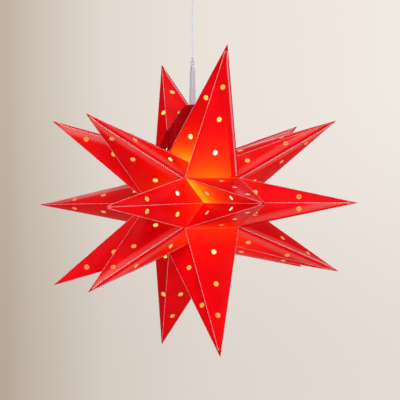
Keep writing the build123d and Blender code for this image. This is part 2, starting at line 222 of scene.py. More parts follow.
# finishes
reds = {
    "deep": (0.72, 0.001, 0.004), "bright": (0.86, 0.002, 0.006), "foldHighlight": (0.90, 0.14, 0.14),
    "paintedSheen": (0.95, 0.17, 0.13), "shadedTabDeep": (0.30, 0.0012, 0.004), "shadedTabBright": (0.44, 0.002, 0.006),
}
besideSeam = {  # metres from the sewn fold, where each change starts and ends
    "thread": (0.0008, 0.0016), "pucker": (0.002, 0.014), "roll": (0.0, 0.022),
    "ridgeRise": (0.002, 0.006), "ridgeFall": (0.009, 0.018), "allowance": (0.0130, 0.0137),
}
foldHighlightEdge, puckerLength = (0.0002, 0.0011), 0.0045
glowStops = (
    (0.0, (0.0, 0.0, 0.0)), (0.154, (0.03, 0.0, 0.0)), (0.28, (0.16, 0.004, 0.0)),
    (0.406, (0.30, 0.022, 0.001)), (0.532, (0.45, 0.060, 0.001)), (0.63, (0.58, 0.12, 0.001)),
    (0.74, (0.66, 0.18, 0.002)), (1.0, (0.95, 0.42, 0.003)),
)


def sheetFinish(name, deep, bright, glowing):
    board = newFinish(name)
    tone = board.noise(14, 3, 0.55)
    grain = board.noise(1400, 2, 0.6)
    wave = board.noise(24, 1, 0.4)
    colour = board.blendColours(board.smooth(tone, 0.3, 0.7), deep, bright)
    values = {"Specular IOR Level": 0.02, "IOR": 1.5, "Coat Roughness": 0.16}
    height = wave * 6 + grain * 0.22
    coat = 0.01 + tone * 0.03
    if glowing:
        away, along, across = (board.read(field) for field in ("foldDistance", "seamAlong", "seamAcross"))
        past = {key: board.smooth(across, *ends) for key, ends in besideSeam.items()}
        # painted highlight: a paler red along the folds stands in for the light caught by each rounded crease
        foldHighlightMask = (1 - board.smooth(away, *foldHighlightEdge)) * past["thread"]
        colour = board.blendColours(foldHighlightMask * 0.75, colour, reds["foldHighlight"])
        pucker = board.maths("SINE", along * (2 * pi / puckerLength)) * (1 - past["pucker"])
        height = height + pucker * 0.5 + past["roll"] * 16  # the sheet rounds over beside its seam
        ridge = past["ridgeRise"] * (1 - past["ridgeFall"]) * board.read("seamPull")
        # painted sheen: a paler red on the rolled band beside the seam stands in for its highlight; the coat
        # there is really glossier
        colour = board.blendColours(ridge * 0.27, colour, reds["paintedSheen"])
        coat = coat + ridge * 0.7
        glow = board.read("glow") * (1 - (1 - past["allowance"]) * 0.8)  # painted shade: the painted glow is cut where the doubled seam allowance lies, as two sheets there let less light out
        # painted light: this emission stands in for the lamp's light shining out through the red sheet
        values["Emission Color"] = board.ramp(glow ** 0.5 * 0.7, *glowStops)
        values["Emission Strength"] = 1.0
    values["Base Color"] = colour
    values["Roughness"] = 0.24 + grain * 0.08 + tone * 0.08
    values["Coat Weight"] = coat
    values["Normal"] = board.bump(height, 0.0004, 0.55)
    return setShader(board, values)


redSheet = sheetFinish("redSheet", reds["deep"], reds["bright"], True)
# painted shade: the tabs are the same red vinyl in a darker copy, for the shade they sit in
shadedTabSheet = sheetFinish("shadedTabSheet", reds["shadedTabDeep"], reds["shadedTabBright"], False)

board = newFinish("sheetInside")  # the reverse, pale in itself; its warm brown base colour and its emission paint the lamp's light on it
fibre = board.noise(700, 3, 0.6)
glow = board.read("glow") ** 0.5
sheetInside = setShader(board, {
    "Base Color": board.blendColours(fibre, (0.42, 0.26, 0.12), (0.52, 0.36, 0.20)),
    "Roughness": 0.55 + fibre * 0.2,
    # painted light: the emission stands in for the lamp's light falling on the reverse
    "Emission Color": board.ramp(
        glow, (0.0, (0.24, 0.06, 0.015)), (0.12, (0.46, 0.19, 0.025)), (0.22, (0.66, 0.37, 0.045)),
        (0.33, (0.94, 0.66, 0.09)), (0.45, (1.0, 0.92, 0.34)), (0.56, (1.0, 0.99, 0.84)),
    ),
    "Emission Strength": 1.0,
    "Normal": board.bump(fibre, 0.0002, 0.4),
})

board = newFinish("foldHighlightLine")  # the pale bead on each fold: painted highlight of the rounded crease
grain = board.noise(260, 3)
foldHighlightLine = setShader(board, {
    "Base Color": board.blendColours(board.smooth(grain, 0.35, 0.65), (0.84, 0.14, 0.16), (0.95, 0.55, 0.57)),
    "Roughness": 0.35 + grain * 0.2, "Normal": board.bump(grain, 0.0001, 0.5),
})


def fineFinish(name, scale, dark, pale, rough, depth, strength):
    board = newFinish(name)
    fine = board.noise(scale, 2)
    return setShader(board, {
        "Base Color": board.blendColours(fine, dark, pale),
        "Roughness": rough + fine * 0.2, "Normal": board.bump(fine, depth, strength),
    })


cutEdge = fineFinish("cutEdge", 900, (0.80, 0.30, 0.30), (0.92, 0.55, 0.55), 0.5, 0.0001, 0.5)
whiteThread = fineFinish("whiteThread", 2400, (0.80, 0.68, 0.72), (0.97, 0.91, 0.93), 0.6, 0.0002, 0.8)
tapeThread = fineFinish("tapeThread", 2600, (0.22, 0.006, 0.010), (0.52, 0.02, 0.03), 0.6, 0.0002, 0.8)


def grainFinish(name, dark, pale, rough, scale, depth, strength, extra=None, stretch=None):
    board = newFinish(name)
    at = board.place()
    if stretch:
        at = board.node("ShaderNodeMapping", None, {"Vector": at, "Scale": stretch})
    fine = board.noise(scale, 3, 0.6, at)
    broad = board.noise(scale * 0.06, 2, 0.5)
    values = {
        "Base Color": board.blendColours(fine * 0.5 + broad * 0.5, dark, pale),
        "Roughness": rough + (fine + broad) * 0.12,
        "Normal": board.bump(fine, depth, strength),
    }
    values.update(extra or {})
    return setShader(board, values)


metal = {"Metallic": 1.0}
hookTape = grainFinish("hookTape", (0.10, 0.002, 0.006), (0.26, 0.008, 0.015), 0.7, 2200, 0.0006, 0.9)
loopTape = grainFinish("loopTape", (0.14, 0.004, 0.010), (0.34, 0.012, 0.020), 0.8, 1500, 0.0008, 1.0)
sleeveTube = grainFinish(
    "sleeveTube", (0.54, 0.52, 0.60), (0.68, 0.66, 0.74), 0.26, 600, 0.0001, 0.2,
    {"Alpha": 0.88, "IOR": 1.45, "Coat Weight": 0.3}, (1, 1, 0.05))
drawnSteel = grainFinish(
    "drawnSteel", (0.42, 0.42, 0.43), (0.66, 0.66, 0.67), 0.24, 1800, 0.00005, 0.3, metal, (1, 1, 0.04))
brightWire = grainFinish(
    "brightWire", (0.42, 0.41, 0.46), (0.58, 0.57, 0.62), 0.32, 1200, 0.00004, 0.2, metal)
hookSteel = grainFinish("hookSteel", (0.44, 0.44, 0.45), (0.70, 0.70, 0.71), 0.22, 900, 0.00006, 0.3, metal)
whitePlastic = grainFinish("whitePlastic", (0.76, 0.74, 0.70), (0.88, 0.87, 0.84), 0.38, 1100, 0.0001, 0.3)
ceramicBody = grainFinish("ceramicBody", (0.78, 0.76, 0.71), (0.92, 0.91, 0.88), 0.45, 1600, 0.0001, 0.4)
springBrass = grainFinish(
    "springBrass", (0.52, 0.36, 0.12), (0.80, 0.62, 0.28), 0.25, 900, 0.00004, 0.3, metal)
lampBoard = grainFinish(
    "lampBoard", (0.82, 0.70, 0.30), (0.95, 0.88, 0.60), 0.5, 900, 0.0001, 0.3,
    {"Emission Color": (1.0, 0.86, 0.55), "Emission Strength": 2.0})
frostedGlass = grainFinish(
    "frostedGlass", (0.90, 0.86, 0.78), (0.98, 0.96, 0.92), 0.5, 1500, 0.0001, 0.3,
    {"Emission Color": (1.0, 0.90, 0.70), "Emission Strength": 3.0})
satinPaint = grainFinish("satinPaint", (0.80, 0.79, 0.76), (0.90, 0.89, 0.87), 0.36, 700, 0.00015, 0.3)
print("finishes mixed")


# geometry nodes: a thread or a bead along seams, rims at punched holes, and the tape's pile
def newTree(name, **inputs):
    tree = bpy.data.node_groups.new(name, "GeometryNodeTree")
    board = Board(tree)
    tree.interface.new_socket("Geometry", in_out="INPUT", socket_type="NodeSocketGeometry")
    for label, value in inputs.items():
        kind = "NodeSocketInt" if isinstance(value, int) else "NodeSocketFloat"
        tree.interface.new_socket(label, in_out="INPUT", socket_type=kind).default_value = value
    tree.interface.new_socket("Finish", in_out="INPUT", socket_type="NodeSocketMaterial")
    board.keys = {socket.name: socket.identifier for socket in tree.interface.items_tree}
    tree.interface.new_socket("Geometry", in_out="OUTPUT", socket_type="NodeSocketGeometry")
    start = board.node("NodeGroupInput")
    board.given = {label: start.other(label) for label in board.keys}
    return board


def endTree(board, geometry):
    placed = board.node("GeometryNodeRealizeInstances", None, {"Geometry": geometry})
    values = {"Geometry": placed, "Material": board.given["Finish"]}
    done = board.node("GeometryNodeSetMaterial", None, values)
    board.node("NodeGroupOutput", None, {"Geometry": done})


def fieldOf(board, name):
    return board.node("GeometryNodeInputNamedAttribute", {"data_type": "FLOAT_VECTOR"}, {"Name": name})


def scaled(board, vector, size):
    return board.node("ShaderNodeVectorMath", {"operation": "SCALE"}, {0: vector, "Scale": size})


def circle(board, sides, radius):
    return board.node("GeometryNodeCurvePrimitiveCircle", None, {"Resolution": sides, "Radius": radius})


def swept(board, path, section, caps=True):
    values = {"Curve": path, "Profile Curve": section, "Fill Caps": caps}
    return board.node("GeometryNodeCurveToMesh", None, values)


def repeated(board, places, shape, rotation):
    values = {"Points": places, "Instance": shape, "Rotation": rotation}
    return board.node("GeometryNodeInstanceOnPoints", None, values)


def turnedTo(board, axis, way):
    return board.node("FunctionNodeAlignRotationToVector", {"axis": axis}, {"Vector": way})


board = threadAlongSeam = newTree(
    "threadAlongSeam", Stitch=0.0022, Width=0.003, Lift=0.0002, Thickness=0.0003, Sides=5)
given = board.given
seamLine = board.node("GeometryNodeMeshToCurve", None, {"Mesh": given["Geometry"]})
seamLine = board.node(
    "GeometryNodeResampleCurve", {"mode": "LENGTH"}, {"Curve": seamLine, "Length": given["Stitch"]})
odd = board.maths("FLOORED_MODULO", board.node("GeometryNodeInputIndex"), 2.0)
aside = scaled(board, fieldOf(board, "across"), (odd - 0.5) * given["Width"])
raised = scaled(board, fieldOf(board, "lift"), given["Lift"])
moved = board.node("ShaderNodeVectorMath", {"operation": "ADD"}, {0: aside, 1: raised})
seamLine = board.node("GeometryNodeSetPosition", None, {"Geometry": seamLine, "Offset": moved})
endTree(board, swept(board, seamLine, circle(board, given["Sides"], given["Thickness"])))

board = rimAtHoles = newTree("rimAtHoles", Radius=0.0044, Lip=0.0002, Sides=16)
given = board.given
ring = swept(board, circle(board, given["Sides"], given["Radius"]), circle(board, 3, given["Lip"]), False)
endTree(board, repeated(board, given["Geometry"], ring, turnedTo(board, "Z", fieldOf(board, "lift"))))

board = pileOnTape = newTree("pileOnTape", Density=250000.0, Height=0.0008, Thickness=0.00008, Seed=4)
given = board.given
scattered = board.node("GeometryNodeDistributePointsOnFaces", None, {
    "Mesh": given["Geometry"], "Density": given["Density"], "Seed": given["Seed"]})
tuft = board.node("GeometryNodeCurveArc", None, {
    "Resolution": 5, "Radius": given["Height"], "Sweep Angle": radians(210)})
tuft = swept(board, tuft, circle(board, 3, given["Thickness"]))
endTree(board, repeated(board, scattered, tuft, turnedTo(board, "Y", scattered.other("Normal"))))
print("trees built")


def plainMesh(name, source, board, values, finish, body, slot):
    holder = linked(name + "Holder", source)
    grown = holder.modifiers.new("grown", "NODES")
    grown.node_group = board.tree
    for label, value in values.items():
        grown[board.keys[label]] = value
    grown[board.keys["Finish"]] = finish
    bpy.context.view_layer.update()
    ready = holder.evaluated_get(bpy.context.evaluated_depsgraph_get())
    mesh = bpy.data.meshes.new_from_object(ready)
    bpy.data.objects.remove(holder)
    mesh.materials.clear()
    mesh.materials.append(finish)
    mesh.polygons.foreach_set("material_index", [0] * len(mesh.polygons))
    mesh.polygons.foreach_set("use_smooth", [True] * len(mesh.polygons))
    for attribute in [x.name for x in mesh.attributes if x.name in ("across", "lift")]:
        mesh.attributes.remove(mesh.attributes[attribute])
    return addPiece(name, mesh, body, slot)


def guideMesh(name, runs):
    mesh = bpy.data.meshes.new(name)
    places, links, acrossList, liftList = [], [], [], []
    for run in runs:  # places, each with a way across the run and a way off the surface
        for i, (place, across, lift) in enumerate(run):
            if i:
                links.append((len(places) - 1, len(places)))
            places.append(place)
            acrossList += list(across)
            liftList += list(lift)
    mesh.from_pydata(places, links, [])
    for label, values in (("across", acrossList), ("lift", liftList)):
        mesh.attributes.new(label, "FLOAT_VECTOR", "POINT").data.foreach_set("vector", values)
    return mesh


# the folded points
star = {
    "middleReach": 0.300, "sideReach": 0.288, "sideSlant": 54.5, "foldX": 0.050, "foldRadius": 0.0866025,
    "creaseX": 0.015, "creaseRadius": 0.075, "poleX": 0.088, "poleHole": 0.006, "stemNotch": 0.0071,
    "sheet": 0.0008, "swell": 0.0026, "fullSize": 0.09, "middleWeld": 0.013, "sideWeld": 0.009,
    "bluntness": 0.0007, "holeRadius": 0.0044, "holeSides": 28, "rimLift": 0.00002,
}
spacing = {  # how finely the sheet is meshed, and how near its places come to edges and holes
    "grid": 0.0075, "besideEdge": 0.0028, "edgeRoom": 0.0024, "holeRing": 1.5, "ringRoom": 0.0012,
    "holeRoom": 0.001, "holeEdge": 0.985, "same": 5e-5,
}
rowsOf = {  # each hole's place on a face, as a part of the way from tip to base
    "wide": (0.32, 0.56, 0.81), "pole": (0.32, 0.58, 0.86), "half": (0.46, 0.80),
}
lean = {  # degrees that a point's slant and turn are off the regular star, by its number in the ring
    "middle": {2: (1.0, 4.0), 3: (0.0, 3.0), 5: (-1.0, 0.0), 6: (-3.0, 0.0)},
    "left": {1: (1.0, -2.0), 2: (1.0, 1.5), 3: (-1.5, -2.0), 4: (1.0, 1.5), 6: (1.5, 0.5)},
    "right": {2: (0.5, 1.0), 3: (1.0, 1.5), 5: (4.5, -6.0), 6: (8.0, -8.0)},
}
seams = {  # which fold is sewn, and which face carries the thread
    "usual": (2, 2), "middle_point_1": (1, 1), "left_point_1": (3, 3),
    "left_point_6": (0, 3), "right_point_6": (0, 3),
}
# the lamp's places, and the factors that scale the glow painted on each point's sheets
lamp = {
    "low": -0.394, "high": -0.362, "samples": 6, "unit": 0.1, "offSheet": 0.0012, "inward": 0.03,
    "stray": 0.012, "nearest": 0.05,
    "dimming": {"wide": 0.66, "half": 2.8, "front": 5.8, "side": 0.34},
    "brighter": {"middle_point_6": 1.8, "left_point_6": 2.8, "right_point_6": 2.8},
    "inside": {"side": 0.55, "middle": 1.9, "middle_point_6": 0.5, "left_point_6": 0.3, "right_point_6": 0.3},
}
level = 1e-4  # nearer to the star's middle plane than this is on it


def onStar(x, radius, turn):
    t = radians(turn)
    return starCentre + Vector((x, -radius * cos(t), radius * sin(t)))


def tipOf(ring, n, reach, slant):
    offSlant, offTurn = lean[ring].get(n + 1, (0, 0))
    s = radians(slant + offSlant)
    return onStar(reach * sin(s), reach * cos(s), n * 60 + offTurn)


plans = []
for n in range(6):
    turn = n * 60
    low, high = turn - 30, turn + 30
    fold = lambda t, side: onStar(side * star["foldX"], star["foldRadius"], t)
    inner = lambda side: onStar(side * star["creaseX"], star["creaseRadius"], turn)
    name = f"middle_point_{n + 1}"
    plans.append({
        "name": name, "tip": tipOf("middle", n, star["middleReach"], 0), "weld": star["middleWeld"],
        "base": [fold(high, 1), inner(1), fold(low, 1), fold(low, -1), inner(-1), fold(high, -1)],
        "rows": ["half", "half", "wide", "half", "half", "wide"], "pole": None,
        "lit": "half" if n else "front", "kind": "middle",
    })
    for side, ring in ((-1, "left"), (1, "right")):
        name = f"{ring}_point_{n + 1}"
        pole = onStar(side * star["poleX"], 0, turn)
        plans.append({
            "name": name, "tip": tipOf(ring, n, star["sideReach"], side * star["sideSlant"]),
            "weld": star["sideWeld"], "pole": 3, "kind": "side",
            "base": [fold(high, side), inner(side), fold(low, side), pole],
            "rows": ["half", "half", "pole", "pole"],
        })
flatPlaces, flatFaces = [], []
for plan in plans:
    tip, base = plan["tip"], plan["base"]
    count = len(base)
    foot = sum(base, Vector()) / count
    middle = (foot + tip) / 2
    plan["axis"] = (foot - tip).normalized()
    plan["sewn"], plan["carrier"] = seams.get(plan["name"], seams["usual"])
    plan["normals"] = []
    for i in range(count):
        p, q = base[i], base[(i + 1) % count]
        normal = (p - tip).cross(q - tip).normalized()
        plan["normals"].append(normal if normal.dot(tip - middle) > 0 else -normal)
        flatFaces.append([len(flatPlaces), len(flatPlaces) + 1, len(flatPlaces) + 2])
        flatPlaces += [tip, p, q]
screen = BVHTree.FromPolygons(flatPlaces, flatFaces)
lampPlaces = [
    Vector((0, 0, lamp["low"] + (lamp["high"] - lamp["low"]) * (i + 0.5) / lamp["samples"]))
    for i in range(lamp["samples"])
]


def lampGlow(place, normal, faceMiddle, dimming):
    # how much of the lamp's light falls on the sheet's inner side here, which the sheet shows as painted glow
    start = place - normal * lamp["offSheet"] + (faceMiddle - place) * lamp["inward"]
    total = 0.0
    for lit in lampPlaces:
        way = lit - start
        far = way.length
        way.normalize()
        facing = -normal.dot(way)
        if facing <= 0 or screen.ray_cast(start, way, far)[0] is not None:
            continue
        side = sqrt(max(0.0, 1 - way.z * way.z))  # the lamp's tube shines sideways most
        total += facing * side * (lamp["unit"] / far) ** 2
    reach = max((place - starCentre).length, lamp["nearest"])
    return total / lamp["samples"] * dimming + lamp["stray"] * (lamp["unit"] / reach)


def roundHole(x, y, radius, sides):
    return [
        (x + radius * cos(2 * pi * i / sides), y + radius * sin(2 * pi * i / sides))
        for i in range(sides)
    ]


def inPolygon(x, y, loop):
    inside = False
    for i in range(len(loop)):
        (x1, y1), (x2, y2) = loop[i - 1], loop[i]
        if (y1 > y) != (y2 > y) and x < (x2 - x1) * (y - y1) / (y2 - y1) + x1:
            inside = not inside
    return inside


def toSegment(x, y, p, q):
    dx, dy = q[0] - p[0], q[1] - p[1]
    part = max(0, min(1, ((x - p[0]) * dx + (y - p[1]) * dy) / (dx * dx + dy * dy)))
    return hypot(x - p[0] - dx * part, y - p[1] - dy * part)


class FlatFace:
    def __init__(self, plan, index):
        base = plan["base"]
        count = len(base)
        self.tip, self.a, self.b = plan["tip"], base[index], base[(index + 1) % count]
        self.normal = plan["normals"][index]
        self.before = plan["normals"][index - 1]
        self.after = plan["normals"][(index + 1) % count]
        self.u = ((self.a + self.b) / 2 - self.tip).normalized()
        self.v = self.normal.cross(self.u)
        self.corners = [self.flat(p) for p in (self.tip, self.a, self.b)]
        (self.ax, self.ay), (self.bx, self.by) = self.corners[1:]
        self.area = self.ax * self.by - self.bx * self.ay
        self.middle = (self.tip + self.a + self.b) / 3
        self.besideStem = abs(self.a.y) < level and abs(self.b.y) < level and self.a.z > starCentre.z
        size = sqrt(abs(self.area) / 2) / star["fullSize"]
        self.swell = star["swell"] * min(1.0, size) ** 1.3  # a small face swells less
        if self.besideStem:
            self.swell = 0  # room for the tabs to fold out

    def flat(self, place):
        way = place - self.tip
        return (way.dot(self.u), way.dot(self.v))

    def weights(self, x, y):
        p = (x * self.by - y * self.bx) / self.area
        q = (y * self.ax - x * self.ay) / self.area
        return 1 - p - q, p, q

    def surface(self, x, y):
        w = self.weights(x, y)
        rise = self.swell * 27 * max(0, w[0]) * max(0, w[1]) * max(0, w[2])
        return self.tip + self.u * x + self.v * y + self.normal * rise


def edgeRun(p, q):
    parts = max(1, round((q - p).length / spacing["grid"]))
    return [p + (q - p) * (i / parts) for i in range(parts)]


def outline(plan, face, index):
    # the face's edge, cropped at its welded tip, at the pole and round the stem
    tip, a, b, pole = face.tip, face.a, face.b, plan["pole"]
    shrink = lambda p: tip + (p - tip) * (plan["weld"] / (p - tip).dot(plan["axis"]))
    startA, startB = shrink(a), shrink(b)
    if face.besideStem and pole is None:
        notch, n = star["stemNotch"], face.normal
        side = -1 if face.middle.y < 0 else 1
        start = -copysign(notch, (b - a).normalized().x)
        arc = [Vector((start, 0, a.z))]
        for i in range(13):
            t = pi * i / 12
            x, y = start * cos(t), side * notch * sin(t)
            arc.append(Vector((x, y, tip.z - (n.x * (x - tip.x) + n.y * (y - tip.y)) / n.z)))
        toStem, fromStem = edgeRun(a, arc[0]), edgeRun(Vector((-start, 0, a.z)), b)[1:]
        return edgeRun(startA, a) + toStem + arc[1:] + fromStem + edgeRun(b, startB) + [startB]
    if pole is None or index not in (pole - 1, pole):
        return edgeRun(startA, a) + edgeRun(a, b) + edgeRun(b, startB) + [startB]
    middle, other = (b, a) if index == pole - 1 else (a, b)
    crop = lambda way: middle + way * (star["poleHole"] / hypot(way.y, way.z))
    towardTip, towardOther = (tip - middle).normalized(), (other - middle).normalized()
    arc = [crop(towardOther.lerp(towardTip, i / 4)) for i in range(5)]
    if index == pole - 1:
        return edgeRun(startA, a) + edgeRun(a, arc[0]) + arc[:-1] + edgeRun(arc[-1], startB) + [startB]
    arc.reverse()
    return edgeRun(startA, arc[0]) + arc[:-1] + edgeRun(arc[-1], b) + edgeRun(b, startB) + [startB]


def mitreWay(face, x, y):
    # how the inner skin steps in from a place on the outer one
    n, t, gap, sharpest = face.normal, star["sheet"], 2e-5, 0.35
    (ax, ay), (bx, by) = face.corners[1:]
    for end, other in (((ax, ay), face.before), ((bx, by), face.after)):
        if toSegment(x, y, (0, 0), end) < gap:
            return -(n + other) / max(1 + n.dot(other), sharpest) * t
    if toSegment(x, y, (ax, ay), (bx, by)) < gap:
        place = face.tip + face.u * x + face.v * y
        along = (face.b - face.a).normalized()
        inward = starCentre - place
        inward -= along * inward.dot(along)
        inward.normalize()
        return inward * (t / max(sharpest, -inward.dot(n)))
    return -n * t


def facePlaces(face, edge, holes):
    # the flat places that a face is triangulated from, and the lines that stay edges
    grid, ring = spacing["grid"], star["holeRadius"] * spacing["holeRing"]
    room = lambda x, y: min(toSegment(x, y, edge[k - 1], edge[k]) for k in range(len(edge)))
    clear = lambda x, y, gap: all(hypot(x - h[0], y - h[1]) > ring + gap for h in holes)
    flat = [Vector(p) for p in edge]
    links = [(i, (i + 1) % len(edge)) for i in range(len(edge))]
    for hole in holes:
        start, sides = len(flat), star["holeSides"]
        flat += [Vector(p) for p in roundHole(*hole, star["holeRadius"], sides)]
        links += [(start + i, start + (i + 1) % sides) for i in range(sides)]
        flat += [
            Vector(p) for p in roundHole(*hole, ring, sides // 2)
            if inPolygon(*p, edge) and room(*p) > spacing["ringRoom"]]
    area = sum(edge[k - 1][0] * edge[k][1] - edge[k][0] * edge[k - 1][1] for k in range(len(edge)))
    for k, (x, y) in enumerate(edge):  # a row beside the edge keeps the swell even
        (x1, y1), (x2, y2) = edge[k - 1], edge[(k + 1) % len(edge)]
        size, inset = hypot(x2 - x1, y2 - y1), copysign(spacing["besideEdge"], area)
        if size < grid:
            continue
        x, y = x - (y2 - y1) / size * inset, y + (x2 - x1) / size * inset
        if inPolygon(x, y, edge) and room(x, y) > spacing["edgeRoom"] and clear(x, y, spacing["holeRoom"]):
            flat.append(Vector((x, y)))
    far, wide = max(face.ax, face.bx), max(abs(face.ay), abs(face.by))
    for i in range(int(far / grid) + 1):
        for j in range(-int(wide / grid) - 1, int(wide / grid) + 2):
            x, y = (i + 0.5) * grid, (j + (0.5 if i % 2 else 0)) * grid
            if not inPolygon(x, y, edge) or room(x, y) < spacing["besideEdge"] + grid * 0.5:
                continue
            if clear(x, y, grid * 0.4):
                flat.append(Vector((x, y)))
    return flat, links


def faceTriangles(face, edge, holes):
    made, _, triangles, *_ = delaunay_2d_cdt(*facePlaces(face, edge, holes), [], 0, 1e-7)
    kept = []
    for tri in triangles:
        if len(tri) != 3:
            continue
        p, q, r = (made[i] for i in tri)
        x, y = sum(made[i].x for i in tri) / 3, sum(made[i].y for i in tri) / 3
        inHole = any(hypot(x - h[0], y - h[1]) < star["holeRadius"] * spacing["holeEdge"] for h in holes)
        if inHole or not inPolygon(x, y, edge):
            continue
        turnWay = (q.x - p.x) * (r.y - p.y) - (q.y - p.y) * (r.x - p.x)
        kept.append(tuple(tri) if turnWay > 0 else tuple(reversed(tri)))
    return made, kept


holePlaces, foldRuns, seamRuns = [], [], []


def addFace(plan, index, mesh):
    face = FlatFace(plan, index)
    edge = []
    for p in (face.flat(place) for place in outline(plan, face, index)):
        if not edge or hypot(p[0] - edge[-1][0], p[1] - edge[-1][1]) > spacing["same"]:
            edge.append(p)
    middle = ((face.ax + face.bx) / 2, (face.ay + face.by) / 2)
    holes = [(middle[0] * row, middle[1] * row) for row in rowsOf[plan["rows"][index]]]
    made, kept = faceTriangles(face, edge, holes)
    used = sorted({i for tri in kept for i in tri})
    fresh = {old: new for new, old in enumerate(used)}
    offset, count = len(mesh["places"]), len(used)
    sewn, kind = plan["sewn"], plan["kind"]
    seamStart, seamEnd = plan["tip"], plan["base"][sewn]
    hasSeam = index in (sewn, (sewn - 1) % len(plan["base"]))
    seamWay = (seamEnd - seamStart).normalized()
    seamTip, seamFoot = face.flat(seamStart), face.flat(seamEnd)
    lit = plan["rows"][index] if kind == "middle" else "side"
    dimming = lamp["dimming"][plan["lit"] if lit == "half" else lit] * lamp["brighter"].get(plan["name"], 1)
    tipAt, (endA, endB) = (0, 0), face.corners[1:]
    outerPlaces, innerPlaces, attributes = [], [], []
    for i in used:
        x, y = made[i]
        place = face.surface(x, y)
        outerPlaces.append(place)
        innerPlaces.append(place + mitreWay(face, x, y))
        glow = lampGlow(face.tip + face.u * x + face.v * y, face.normal, face.middle, dimming)
        away = min(toSegment(x, y, *ends) for ends in ((tipAt, endA), (tipAt, endB), (endA, endB)))
        along = (place - seamStart).dot(seamWay)
        across = toSegment(x, y, seamTip, seamFoot) if hasSeam else 1.0
        attributes.append((glow, away, along, across, 1.0 if kind == "side" else 0.0))
    mesh["places"] += outerPlaces + innerPlaces
    inside = lamp["inside"].get(plan["name"], lamp["inside"][kind])
    mesh["attributes"] += attributes + [(row[0] * inside, *row[1:]) for row in attributes]
    uses = {}
    for tri in kept:
        tri = [fresh[i] for i in tri]
        mesh["faces"] += [[offset + i for i in tri], [offset + count + i for i in reversed(tri)]]
        mesh["finishes"] += [0, 1]
        for k in range(3):
            uses[(tri[k], tri[(k + 1) % 3])] = True
    for p, q in uses:
        if (q, p) not in uses:
            mesh["faces"].append([offset + q, offset + p, offset + count + p, offset + count + q])
            mesh["finishes"].append(2)
    for x, y in holes:
        holePlaces.append([(face.surface(x, y) + face.normal * star["rimLift"], Vector(), face.normal)])
    return face


tipFields = (0.004, 0.002, 0.0, 1.0, 0.0)  # little glow, near a fold, away from any seam


def addTip(plan, mesh):
    # the welded tip, blunt at its end
    tip, base, axis, weld, blunt = plan["tip"], plan["base"], plan["axis"], plan["weld"], star["bluntness"]
    rings = []
    for depth, inset in ((weld, 1.0), (weld * 0.5, 1.0), (blunt * 1.6, 1.0), (blunt, 0.72)):
        middle = tip + axis * depth
        edges = [tip + (p - tip) * (depth / (p - tip).dot(axis)) for p in base]
        rings.append([middle + (place - middle) * inset for place in edges])
    count, offset = len(base), len(mesh["places"])
    mesh["places"] += [place for ring in rings for place in ring]
    mesh["attributes"] += [tipFields] * (count * len(rings))
    spokes = [place - (tip + axis * weld) for place in rings[0]]
    forward = sum((spokes[i - 1].cross(spokes[i]) for i in range(count)), Vector()).dot(axis) > 0
    turned = lambda loop, flip: loop[::-1] if flip else loop
    for step in range(len(rings) - 1):
        for i in range(count):
            low, ahead = offset + step * count, (i + 1) % count
            quad = [low + i, low + ahead, low + count + ahead, low + count + i]
            mesh["faces"].append(turned(quad, forward))
            mesh["finishes"].append(0)
    last = offset + (len(rings) - 1) * count
    mesh["faces"].append(turned([offset + i for i in range(count)], not forward))
    mesh["faces"].append(turned([last + i for i in range(count)], forward))
    mesh["finishes"] += [1, 0]


sewing = {
    "stitch": 0.0023, "width": 0.0030, "inset": 0.0036, "thickness": 0.00042, "lift": 0.00035,
    "from": 0.05, "to": 0.985, "toPole": 0.95, "places": 40, "narrowing": 0.11, "fullAt": 0.04,
}
creases = {"thickness": 0.00031, "from": 0.05, "to": 0.995}


def traceFoldHighlights(plan):
    # a run along every fold but the sewn one, up to the base corner or the pole's opening, for the pale bead
    # that paints the crease's highlight
    tip, normals = plan["tip"], plan["normals"]
    for i, corner in enumerate(plan["base"]):
        if i == plan["sewn"]:
            continue
        if i == plan["pole"]:
            reach = corner - tip
            corner = tip + reach * (1 - star["poleHole"] / hypot(reach.y, reach.z))
        lift = (normals[i] + normals[i - 1]).normalized()
        places = [tip + (corner - tip) * part for part in (creases["from"], 0.5, creases["to"])]
        foldRuns.append([(place, Vector(), lift) for place in places])


def sewSeam(plan, face):
    # a run beside the sewn fold, on the face that carries the thread
    end = face.flat(plan["base"][plan["sewn"]])
    length = hypot(*end)
    along = (end[0] / length, end[1] / length)
    inward = (-along[1], along[0])
    if (face.middle - face.tip).dot(face.u * inward[0] + face.v * inward[1]) < 0:
        inward = (along[1], -along[0])
    stop = sewing["toPole"] if plan["sewn"] == plan["pole"] else sewing["to"]
    run = []
    for k in range(sewing["places"] + 1):
        way = (sewing["from"] + (stop - sewing["from"]) * k / sewing["places"]) * length
        inset = min(sewing["inset"], way * sewing["narrowing"])
        x, y = along[0] * way + inward[0] * inset, along[1] * way + inward[1] * inset
        across = (face.u * inward[0] + face.v * inward[1]) * min(1.0, way / sewing["fullAt"])
        run.append((face.surface(x, y), across, face.normal))
    seamRuns.append(run)


for plan in plans:
    mesh = {"places": [], "faces": [], "finishes": [], "attributes": []}
    faces = [addFace(plan, i, mesh) for i in range(len(plan["base"]))]
    addTip(plan, mesh)
    data = shell(plan["name"], mesh["places"], mesh["faces"], redSheet, sheetInside, cutEdge)
    data.polygons.foreach_set("material_index", mesh["finishes"])
    data.polygons.foreach_set("use_smooth", [f < 2 for f in mesh["finishes"]])
    for k, label in enumerate(("glow", "foldDistance", "seamAlong", "seamAcross", "seamPull")):
        field = data.attributes.new(label, "FLOAT", "POINT")
        field.data.foreach_set("value", [row[k] for row in mesh["attributes"]])
    addPiece(plan["name"].title().replace("_", ""), data, "star", "vinyl_sheet", plan["name"])
    traceFoldHighlights(plan)
    sewSeam(plan, faces[plan["carrier"]])
print("points folded", len(plans))

